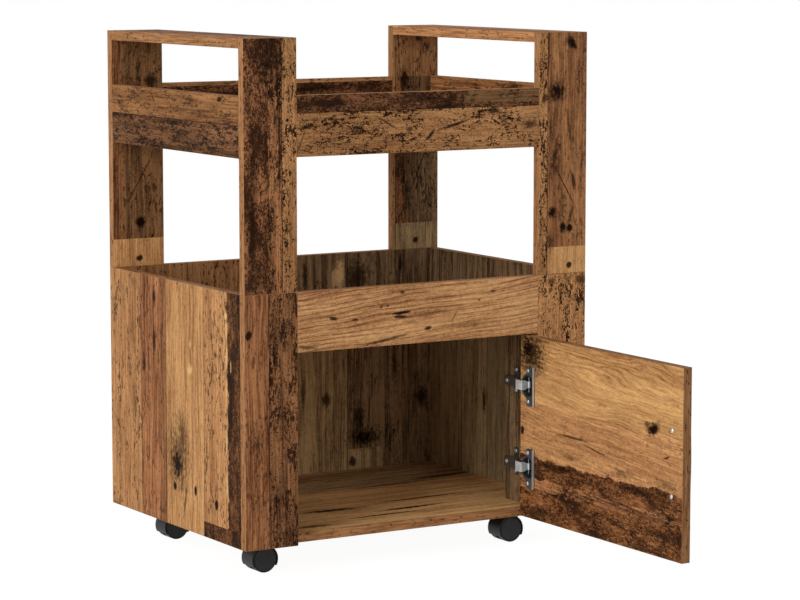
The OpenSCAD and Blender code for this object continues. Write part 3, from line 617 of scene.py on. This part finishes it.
backPanel = {
    "grain": "z", "face": "y", "side": "low",
    "zones": [
        zone("olive pine", 21.0, gain=1.06), zone("dim plank", 22.0, gain=1.25, acrossOver=124),
        zone("dim plank", 23.0, gain=1.2, acrossOver=197),
        zone("olive pine", 25.0, 1, 1.05, alongUnder=99, acrossOver=124, acrossUnder=197),
        zone("dim plank", 26.0, acrossUnder=-40), zone("tan", 27.0, gain=0.9, acrossUnder=-170),
        zone("dim plank", 28.0, alongOver=345, acrossOver=-60),
        zone("tan", 29.0, 0, 0.92, alongOver=345, acrossUnder=-60),
    ],
    "backZones": [
        zone("pine", 21.5, gain=0.98), zone("russet", 22.5, acrossOver=124),
        zone("tan", 23.5, acrossOver=197), zone("tan", 26.5, gain=0.95, acrossUnder=-40),
        zone("umber", 27.5, 2, 1.1, acrossUnder=-170),
    ],
    "seams": [124, 197, -40, -170],
    "glints": [(394, 111, 24, 8, 0, 0.6, 0.7), (386, 100, 18, 6, 0, 0.6, 0.5)],
    "marks": [
        (118, 156, 17, 30, 0, 0.9, 1.0), (150, 146, 26, 12, 0, 0.9, 0.9),
        (240, 215, 40, 5, 0, 0.7, 0.8), (185, 84, 12, 9, 0, 0.5, 0.8),
        (178, 268, 18, 12, 0, 0.6, 0.9), (78, 134, 9, 7, 0, 0.4, 0.9),
        (200, 40, 26, 5, 0, 0.6, 0.6), (387, 143, 26, 22, 0, 0.6, 0.85),
        (393, 45, 30, 5, 0, 0.5, 0.8), (404, 227, 16, 4, 0, 0.5, 0.8),
        (120, -100, 16, 10, 0, 0.6, 0.7),
    ],
}
dressBoard("back_panel", backPanel)

bottomBoard = {
    "grain": "x", "face": "z", "side": "high",
    "zones": [
        zone("pale pine", 31.0, gain=1.13), zone("pale pine", 32.0, gain=1.09, acrossUnder=-60),
        zone("olive pine", 33.0, gain=1.05, acrossOver=60),
    ],
    "seams": [-60, 60, -204],
    "marks": [
        (230, 84, 60, 7, 4, 0.7, 0.9), (-74, -81, 60, 9, -3, 0.7, 1.0),
        (40, -122, 60, 6, 3, 0.6, 1.0), (-20, -150, 70, 4, 2, 0.6, 0.95),
        (100, -62, 90, 5, 3, 0.6, 0.9), (-150, 20, 50, 7, -2, 0.8, 0.9),
        (120, 60, 80, 6, 2, 0.8, 0.8), (-160, -176, 40, 8, 0, 0.8, 0.9),
    ],
}
dressBoard("bottom_board", bottomBoard)

middleShelf = {
    "grain": "x", "face": "z", "side": "high",
    "zones": [
        zone("tan", 41.0), zone("pine", 42.0, acrossUnder=-40),
        zone("umber", 43.0, acrossOver=100),
    ],
    "seams": [-40, 100],
    "marks": [(-120, -90, 20, 12, 0, 0.6, 0.8), (150, 40, 40, 5, 3, 0.6, 0.7)],
}
dressBoard("middle_shelf", middleShelf)

leftStile = {
    "grain": "z", "face": "y", "side": "low",
    "zones": [zone("russet", 51.0), zone("umber", 52.0, 3, 0.9, acrossOver=-260)],
    "seams": [-260],
    "marks": [
        (369, -294, 7, 6, 0, 0.4, 0.95), (330, -286, 12, 3, 10, 0.5, 0.6),
        (210, -276, 30, 14, 0, 0.9, 0.35), (120, -243, 60, 6, 3, 0.8, 0.5),
        (250, -238, 70, 7, -3, 0.8, 0.45), (360, -250, 40, 8, 0, 0.8, 0.5),
    ],
}
dressBoard("front_stile_left", leftStile)

rightStile = {
    "grain": "z", "face": "y", "side": "low",
    "zones": [zone("speckled", 53.0, gain=1.09)],
    "seams": [],
    "marks": [
        (417, 236, 6, 7, 0, 0.6, 0.75), (417, 290, 8, 9, 0, 0.6, 0.75),
        (404, 235, 4, 4, 0, 0.5, 0.7), (300, 262, 12, 8, 20, 0.8, 0.5),
        (180, 250, 30, 10, 0, 0.9, 0.4),
    ],
}
dressBoard("front_stile_right", rightStile)

frontRail = {
    "grain": "x", "face": "y", "side": "low", "slope": 0.08,
    "zones": [zone("lined pine", 61.0)],
    "seams": [],
    "marks": [
        (-34, 386, 17, 2.6, 3, 0.4, 0.98), (-36, 380, 14, 2.6, -4, 0.4, 0.9),
        (12, 382, 34, 4, 6, 0.8, 0.35), (-152, 385, 8, 3, -12, 0.5, 0.9),
        (-115, 381, 6, 2.4, 0, 0.5, 0.8), (13, 360, 7, 3, 4, 0.5, 0.9),
        (85, 361, 60, 4, 2, 0.8, 0.45), (-32, 417, 4, 3, 0, 0.5, 0.8),
        (129, 409, 5, 2, 0, 0.5, 0.7), (-62, 347, 44, 2.4, 9, 0.5, 0.75),
        (-69, 397, 3, 3, 0, 0.5, 0.7), (-196, 345, 22, 3, -8, 0.6, 0.7),
        (104, 397, 3, 2, 0, 0.5, 0.7), (60, 375, 10, 1.5, 60, 0.6, 0.5),
    ],
}
dressBoard("front_rail", frontRail)

hingeBatten = {
    "grain": "z", "face": "x", "side": "low",
    "zones": [zone("dim plank", 71.0)],
    "seams": [],
    "marks": [],
}
dressBoard("hinge_batten", hingeBatten)

# Posts and handle bars

frontLeftPost = {
    "grain": "z", "face": "y", "side": "low",
    "zones": [
        zone("charred", 81.0, gain=1.1),
        zone("umber", 82.0, 14, 1.05, alongUnder=755, acrossOver=-262),
        zone("speckled", 83.0, gain=0.98, acrossOver=-237),
    ],
    "seams": [-237],
    "marks": [
        (640, -241, 90, 2.4, 0, 0.6, 0.85), (560, -285, 120, 6, 0, 0.9, 0.6),
        (778, -258, 56, 26, 0, 0.8, 0.85), (500, -262, 60, 12, 4, 0.9, 0.5),
        (450, -280, 24, 10, 0, 0.8, 0.6),
    ],
}
dressBoard("post_front_left", frontLeftPost)

frontRightPost = {
    "grain": "z", "face": "y", "side": "low",
    "zones": [
        zone("weathered", 84.0, gain=1.02), zone("russet", 84.5, 10, 0.95, acrossUnder=236),
        zone("speckled", 85.0, acrossUnder=228),
        zone("pine", 86.0, gain=1.03, alongUnder=470, acrossOver=228),
        zone("speckled", 85.4, alongUnder=429),
    ],
    "seams": [228],
    "marks": [
        (783, 272, 12, 7, -25, 0.5, 1.0), (709, 245, 18, 15, 0, 0.7, 1.0),
        (660, 240, 34, 6, 5, 0.9, 0.6), (524, 237, 9, 8, 0, 0.6, 1.0),
        (499, 258, 8, 8, 0, 0.6, 1.0), (499, 270, 6, 6, 0, 0.4, 1.0),
        (606, 240, 34, 7, 12, 0.9, 0.8), (652, 268, 30, 3, -8, 0.7, 0.7),
        (520, 272, 20, 3, 20, 0.6, 0.7), (570, 276, 17, 4, -14, 0.5, 0.85),
        (569, 257, 54, 1.1, -31, 0.4, 0.85), (590, 243, 12, 9, 20, 0.9, 0.7),
        (441, 269, 5, 5.5, 0, 0.35, 0.95), (700, 222, 9, 5, 10, 0.6, 0.85),
        (478, 233, 14, 6, 0, 0.8, 0.7), (640, 274, 60, 5, 0, 0.9, 0.3),
    ],
}
dressBoard("post_front_right", frontRightPost)

backLeftPost = {
    "grain": "z", "face": "y", "side": "low",
    "zones": [
        zone("smoked", 87.0, gain=1.15), zone("russet", 87.6, 2, 0.95, acrossUnder=-283),
        zone("pine", 88.0, gain=1.16, alongUnder=472),
    ],
    "seams": [],
    "marks": [
        (720, -232, 14, 12, 0, 0.7, 0.9), (441, -255, 5, 5.5, 0, 0.35, 0.95),
        (620, -262, 50, 7, 0, 0.9, 0.5), (540, -240, 34, 6, 0, 0.9, 0.5),
        (498, -252, 10, 9, 0, 0.5, 1.0), (563, -255, 43, 1.2, 31, 0.5, 0.8),
    ],
}
dressBoard("post_back_left", backLeftPost)

backRightPost = {
    "grain": "z", "face": "y", "side": "low",
    "zones": [
        zone("mottled", 89.0, gain=1.02), zone("umber", 89.5, 8, 1.05, acrossUnder=236),
        zone("tan", 90.0, acrossUnder=217), zone("olive pine", 91.0, gain=0.88, alongUnder=472),
        zone("tan", 91.5, 0, 0.95, alongOver=716),
    ],
    "backZones": [zone("russet", 89.7, gain=0.95), zone("pine", 90.7, alongUnder=472)],
    "seams": [217],
    "marks": [
        (710, 234, 20, 10, 0, 0.7, 0.95), (443, 256, 5, 5.5, 0, 0.35, 0.95),
        (780, 262, 9, 5, 0, 0.6, 0.8), (560, 262, 60, 1.4, 24, 0.5, 0.7),
        (570, 228, 34, 9, 0, 0.8, 0.75), (520, 240, 20, 6, 0, 0.8, 0.7),
    ],
}
dressBoard("post_back_right", backRightPost)

leftBar = {
    "grain": "y", "face": "z", "side": "high",
    "zones": [zone("russet", 92.0), zone("umber", 93.0, 4, acrossOver=-256)],
    "seams": [],
    "marks": [(60, -270, 30, 6, 0, 0.8, 0.5)],
}
dressBoard("handle_bar_left", leftBar)

rightBar = {
    "grain": "y", "face": "z", "side": "high",
    "zones": [zone("russet", 94.0), zone("tan", 95.0, 4, acrossOver=256)],
    "seams": [], "band": 1.16,
    "marks": [(-40, 240, 30, 6, 0, 0.8, 0.5)],
}
dressBoard("handle_bar_right", rightBar)

# Top tray

trayBoard = {
    "grain": "x", "face": "z", "side": "high",
    "zones": [
        zone("tan", 96.0), zone("pine", 97.0, acrossUnder=-80),
        zone("russet", 98.0, acrossOver=60), zone("umber", 99.0, acrossOver=150),
    ],
    "seams": [-80, 60, 150],
    "marks": [(60, -30, 30, 8, 0, 0.7, 0.7), (-150, 110, 24, 10, 0, 0.7, 0.7)],
}
dressBoard("tray_board", trayBoard)

leftBorder = {
    "grain": "y", "face": "x", "side": "low",
    "zones": [zone("scratched", 101.0, gain=0.85), zone("umber", 102.0, 2, 0.8, acrossUnder=673)],
    "seams": [673],
    "marks": [
        (-150, 709, 7, 4, -20, 0.5, 0.95), (66, 701, 14, 1.6, 50, 0.5, 0.8),
        (-60, 700, 20, 6, 0, 0.9, 0.35), (176, 684, 10, 8, 0, 0.9, 0.45),
        (20, 668, 60, 4, 0, 0.8, 0.7), (-60, 640, 60, 9, 5, 0.9, 0.5),
    ],
}
dressBoard("tray_side_left", leftBorder)

rightBorder = {
    "grain": "y", "face": "x", "side": "low",
    "zones": [zone("scratched", 103.0), zone("speckled", 104.0, 2, acrossUnder=676)],
    "seams": [],
    "marks": [(-40, 706, 30, 5, -10, 0.7, 0.8), (60, 700, 20, 4, 20, 0.7, 0.7)],
}
dressBoard("tray_side_right", rightBorder)

frontBorder = {
    "grain": "x", "face": "y", "side": "low",
    "zones": [
        zone("speckled", 105.0, gain=0.97), zone("charred", 106.0, 2, 0.9, acrossOver=690),
        zone("smoked", 107.0, 3, 0.9, alongOver=72, acrossOver=696),
    ],
    "seams": [690],
    "marks": [
        (74, 703, 3, 12, 0, 0.6, 0.8), (17, 651, 11, 3, 48, 0.5, 0.9),
        (56, 664, 30, 2.4, 14, 0.5, 0.9), (129, 684, 14, 6, -8, 0.7, 0.9),
        (-196, 669, 16, 3, 6, 0.6, 0.85), (-60, 672, 22, 2, -28, 0.6, 0.7),
        (-110, 660, 10, 6, 0, 0.8, 0.6), (-20, 660, 6, 5, 0, 0.6, 0.8),
        (150, 668, 12, 6, 0, 0.9, 0.5), (-204, 650, 1.4, 26, -22, 0.5, 0.6),
        (196, 662, 12, 6, 10, 0.7, 0.7),
    ],
}
dressBoard("tray_front", frontBorder)

backBorder = {
    "grain": "x", "face": "y", "side": "low",
    "zones": [
        zone("charred", 108.0), zone("scratched", 109.0, 2, acrossUnder=688),
        zone("tan", 109.5, acrossOver=710),
    ],
    "seams": [688],
    "marks": [(80, 700, 40, 4, 0, 0.7, 0.8), (-120, 696, 60, 4, 0, 0.7, 0.8)],
}
dressBoard("tray_back", backBorder)

# Door, seen from its inner side

door = {
    "grain": "y", "face": "x", "side": "low", "slope": 0.07,
    "zones": [
        zone("swept pine", 111.0, gain=1.04), zone("calm pine", 111.0, 12, 1.05, acrossUnder=284),
        zone("amber", 112.0, 2, acrossUnder=233), zone("burnt", 113.0, 16, 0.9, acrossUnder=150),
        zone("umber", 113.5, 14, 1.07, acrossUnder=118),
        zone("burnt", 114.0, 14, 0.94, acrossUnder=100),
        zone("russet", 115.0, 16, acrossUnder=52),
    ],
    "seams": [], "band": 0.87,
    "marks": [
        (-558, 238, 17, 9, -25, 0.6, 1.0), (-543, 243, 9, 4, 0, 0.6, 0.8),
        (-238, 311, 40, 38, 0, 0.75, 0.95), (-230, 317, 24, 22, 0, 0.7, 1.0),
        (-258, 287, 22, 10, 0, 0.9, 0.5), (-215, 187, 5, 7, 0, 0.4, 0.95),
        (-355, 195, 40, 2, 0, 0.5, 0.8), (-411, 184, 36, 2, 9, 0.5, 0.75),
        (-590, 200, 9, 2, -20, 0.5, 0.85), (-480, 160, 26, 8, 0, 0.9, 0.6),
        (-345, 163, 20, 5, 0, 0.9, 0.5), (-590, 160, 30, 8, 0, 0.9, 0.5),
        (-320, 142, 80, 5, -2, 0.8, 0.8), (-520, 140, 60, 6, 2, 0.8, 0.8),
        (-600, 240, 6, 3, 0, 0.5, 0.4),
    ],
}
dressBoard("door", door)
print("boards dressed")


metalSurface = {"cloudWaves": 90.0, "cloudFade": (0.3, 0.7), "roughness": (0.18, 0.2), "bumpDepth": 0.05}


# Metal with a slightly uneven tone and a fine worked surface
def makeWorkedMetal():
    group, given, out = newGroup("worked metal", {
        "Point": "Vector", "Light": "Color", "Dark": "Color", "Fineness": "Float",
    }, {"Color": "Color", "Roughness": "Float", "Height": "Float"})
    cloudy = noise(group, given["Point"], 3.0, 0.6, metalSurface["cloudWaves"])
    fine = noise(group, given["Point"], 2.0, 0.5, given["Fineness"])
    share = ramp(group, cloudy, *metalSurface["cloudFade"])
    group.links.new(blend(group, share, given["Dark"], given["Light"]), out["Color"])
    group.links.new(scaled(group, fine, *metalSurface["roughness"]), out["Roughness"])
    group.links.new(fine, out["Height"])
    return group


workedMetal = makeWorkedMetal()


def makeMetal(name, look):
    material, tree, shader = newMaterial(name)
    point = put(tree, "ShaderNodeTexCoord").outputs["Object"]
    drawn = put(tree, "ShaderNodeMapping", {"Vector": point, "Scale": look["stretch"]}).outputs[0]
    surface = useGroup(tree, workedMetal, {
        "Point": drawn, "Light": toLinear(look["light"]), "Dark": toLinear(look["dark"]),
        "Fineness": look["fineness"]})
    bump = put(tree, "ShaderNodeBump", {
        "Height": surface["Height"], "Strength": look["bump"],
        "Distance": metalSurface["bumpDepth"] * mm})
    color = surface["Color"]
    # Bands of painted light over the metal: painted highlight or painted shade, set in by depth along one
    # axis
    for axis, start, end, rgb in look.get("paintedLightBands", []):
        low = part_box(look["node"])[0][axis]
        share = ramp(tree, unpack(tree, point)[axis], low + start * mm, low + end * mm)
        color = blend(tree, share, color, toLinear(rgb))
    feed(tree, shader, {
        "Base Color": color, "Normal": bump.outputs["Normal"], "Metallic": look["metallic"],
        "Roughness": calc(tree, "ADD", surface["Roughness"], look["dull"])})
    return material


# A band of painted light is an axis, the two depths between which it sets in, in millimetres from the
# node's
# low corner, and a colour: painted highlight on a cup's rim, painted shade in its bowl and towards an arm's
# end.
cupSteel = {"light": (120, 122, 122), "dark": (92, 94, 94), "stretch": (1, 1, 1), "fineness": 900.0,
            "bump": 0.2, "metallic": 0.6, "dull": 0.1, "node": "hinge_cup_upper",
            # painted highlight on the cup's rim, painted shade in its bowl
            "paintedLightBands": [(0, 3.2, 2.8, (216, 218, 218)), (0, 4.6, 5.0, (66, 67, 68))]}
armSteel = {"light": (226, 228, 228), "dark": (200, 202, 202), "stretch": (1, 1, 1), "fineness": 900.0,
            "bump": 0.2, "metallic": 0.25, "dull": 0.15, "node": "hinge_arm_upper",
            # painted shade towards the arm's end
            "paintedLightBands": [(1, 17.0, 24.0, (76, 72, 64))]}
plateSteel = {"light": (122, 119, 112), "dark": (94, 91, 84), "stretch": (1, 1, 1), "fineness": 900.0,
              "bump": 0.2, "metallic": 0.7, "dull": 0.1}
zinc = {"light": (226, 228, 228), "dark": (190, 192, 194), "stretch": (1, 1, 1), "fineness": 1400.0,
        "bump": 0.3, "metallic": 0.7, "dull": 0.0}
drawnSteel = {"light": (150, 150, 150), "dark": (104, 104, 104), "stretch": (1, 1, 0.1),
              "fineness": 1600.0, "bump": 0.3, "metallic": 1.0, "dull": 0.0}
castZinc = {"light": (150, 150, 148), "dark": (112, 112, 112), "stretch": (1, 1, 1), "fineness": 700.0,
            "bump": 0.8, "metallic": 0.9, "dull": 0.1}
blackCoat = {"light": (32, 32, 33), "dark": (22, 22, 23), "stretch": (1, 1, 1), "fineness": 1800.0,
             "bump": 0.6, "metallic": 0.0, "dull": 0.15}
corners = ("front_left", "front_right", "back_left", "back_right")
metalParts = [
    ("cup steel", cupSteel, ["hinge_cup_upper", "hinge_cup_lower"]),
    ("satin steel", armSteel, ["hinge_arm_upper", "hinge_arm_lower"]),
    ("plate steel", plateSteel, ["hinge_plate_upper", "hinge_plate_lower"]),
    ("bright zinc", zinc,
     ["cam_bolts", "cup_screws", "hinge_screws", "handle_screws", "caster_screws"]),
    ("drawn steel", drawnSteel,
     ["hinge_pins", "caster_stems"] + ["caster_axle_" + corner for corner in corners]),
    ("cast zinc", castZinc, ["cam_discs"]),
    ("black coat", blackCoat, ["door_handle"] + ["caster_plate_" + corner for corner in corners]),
]
for name, look, parts in metalParts:
    metal = makeMetal(name, look)
    for part in parts:
        dress(part, metal)
print("metal parts dressed")


# Waves are per metre, and the rim and the bump's depth in millimetres.
nylonSurface = {
    "grainWaves": 1500.0, "scuffWaves": 70.0, "scuffFade": (0.35, 0.75), "scuffRoughness": 0.2,
    "rimColor": (12, 12, 13), "rimFade": (3.2, 2.4), "gloss": 0.25, "bump": 0.35, "bumpDepth": 0.06,
}


# Moulded nylon, nearly even, with a fine eroded texture and faint scuffs
def makeNylon(name, look):
    material, tree, shader = newMaterial(name)
    point = put(tree, "ShaderNodeTexCoord").outputs["Object"]
    texture = noise(tree, point, 3.0, 0.6, nylonSurface["grainWaves"])
    scuff = noise(tree, point, 4.0, 0.7, nylonSurface["scuffWaves"])
    share = ramp(tree, scuff, *nylonSurface["scuffFade"])
    color = blend(tree, share, toLinear(look["dark"]), toLinear(look["light"]))
    if "disc" in look:
        # The tread and the rim round a wheel's disc are black.
        low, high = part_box(look["disc"])
        middle = tuple((low[i] + high[i]) / 2 for i in range(3))
        offset = put(tree, "ShaderNodeVectorMath", {0: point, 1: middle}, operation="SUBTRACT").outputs[0]
        flat = put(tree, "ShaderNodeVectorMath", {0: offset, 1: (1.0, 0.0, 1.0)}, operation="MULTIPLY")
        reach = put(tree, "ShaderNodeVectorMath", {0: flat.outputs[0]}, operation="LENGTH")
        start, end = [(high[2] - low[2]) / 2 - width * mm for width in nylonSurface["rimFade"]]
        share = ramp(tree, reach.outputs["Value"], start, end)
        color = blend(tree, share, color, toLinear(nylonSurface["rimColor"]))
    bump = put(tree, "ShaderNodeBump", {
        "Height": texture, "Strength": nylonSurface["bump"], "Distance": nylonSurface["bumpDepth"] * mm})
    spread = nylonSurface["scuffRoughness"]
    feed(tree, shader, {
        "Base Color": color, "Normal": bump.outputs["Normal"],
        "Specular IOR Level": nylonSurface["gloss"],
        "Roughness": scaled(tree, scuff, spread, look["roughness"] - spread / 2)})
    return material


hoodNylon = makeNylon("hood nylon", {"light": (31, 32, 33), "dark": (21, 22, 23), "roughness": 0.45})
for corner in corners:
    dress("caster_hood_" + corner, hoodNylon)
    for side in "ab":
        wheel = "wheel_%s_%s" % (corner, side)
        dress(wheel, makeNylon("nylon of " + wheel.replace("_", " "), {
            "light": (43, 43, 44), "dark": (34, 34, 35), "roughness": 0.5, "disc": wheel}))


bareBeech = {
    "Seed": 7.0, "Light": toLinear((222, 190, 150)), "Dark": toLinear((190, 150, 108)),
    "Shade": toLinear((150, 110, 76)), "Rib": 0.3, "Lines": 0.0, "Bend": 0.5, "Speck": 0.2,
    "Scratch": 0.0, "Crack": 0.0, "Char": 0.0, "Curl": 0.0,
}


def dressDowels():
    material, tree, shader = newMaterial("bare beech")
    point = unpack(tree, put(tree, "ShaderNodeTexCoord").outputs["Object"])
    wood = useGroup(tree, oldWood, {"Along": point[0], "Across": point[1], **bareBeech})
    feed(tree, shader, {"Base Color": wood["Color"], "Roughness": wood["Roughness"]})
    dress("dowels", material)


dressDowels()
print("nylon and beech dressed")


# 1 for the rays that should see a white background
def seenDirectly(tree):
    path = put(tree, "ShaderNodeLightPath").outputs
    mirrored = larger(tree, path["Is Glossy Ray"], path["Is Transmission Ray"])
    return larger(tree, path["Is Camera Ray"], mirrored)


def makeFloor():
    half = studio["floorSize"] / 2
    mesh = bpy.data.meshes.new("studio floor")
    square = [(-half, -half, 0), (half, -half, 0), (half, half, 0), (-half, half, 0)]
    mesh.from_pydata(square, [], [(0, 1, 2, 3)])
    floor = bpy.data.objects.new("studio_floor", mesh)
    bpy.context.scene.collection.objects.link(floor)
    material, tree, shader = newMaterial("pale floor")
    feed(tree, shader, {
        "Base Color": studio["floorColor"], "Roughness": 0.9, "Specular IOR Level": 0.0})
    glow = put(tree, "ShaderNodeEmission", {"Color": (1, 1, 1, 1), "Strength": studio["whiteLevel"]})
    share = times(tree, seenDirectly(tree), studio["floorGlow"])
    mixed = put(tree, "ShaderNodeMixShader", {0: share, 1: shader.outputs[0], 2: glow.outputs[0]})
    tree.links.new(mixed.outputs[0], tree.nodes["Material Output"].inputs["Surface"])
    mesh.materials.append(material)


def makeSky():
    world = bpy.data.worlds.new("studio sky")
    bpy.context.scene.world = world
    world.use_nodes = True
    tree = world.node_tree
    tree.nodes.clear()
    strength = blend(tree, seenDirectly(tree), studio["skyStrength"], 1.0, "FLOAT")
    back = put(tree, "ShaderNodeBackground", {"Color": (1, 1, 1, 1), "Strength": strength})
    tree.links.new(back.outputs[0], put(tree, "ShaderNodeOutputWorld").inputs["Surface"])


def makeLamp(name, place, size, power):
    lamp = bpy.data.lights.new(name, "AREA")
    lamp.shape = "SQUARE"
    lamp.size = size
    lamp.energy = power
    holder = bpy.data.objects.new(name, lamp)
    bpy.context.scene.collection.objects.link(holder)
    aim = [studio["aim"][i] - place[i] for i in range(3)]
    holder.location = place
    holder.rotation_euler = (math.atan2(math.hypot(aim[0], aim[1]), -aim[2]), 0.0,
                             math.atan2(aim[1], aim[0]) - math.pi / 2)


def makeCamera():
    data = bpy.data.cameras.new("view")
    data.sensor_width = cameraView["sensor"]
    data.lens = cameraView["lens"]
    camera = bpy.data.objects.new("view", data)
    bpy.context.scene.collection.objects.link(camera)
    camera.location = cameraView["place"]
    fromBelow = 90 - cameraView["tilt"]
    camera.rotation_euler = (math.radians(fromBelow), 0.0, math.radians(cameraView["turn"]))
    bpy.context.scene.camera = camera


makeFloor()
makeSky()
makeLamp("key", studio["keyPlace"], studio["keySize"], studio["keyPower"])
makeLamp("fill", studio["fillPlace"], studio["fillSize"], studio["fillPower"])
makeCamera()
bpy.context.scene.view_settings.view_transform = "Standard"
print("studio set")
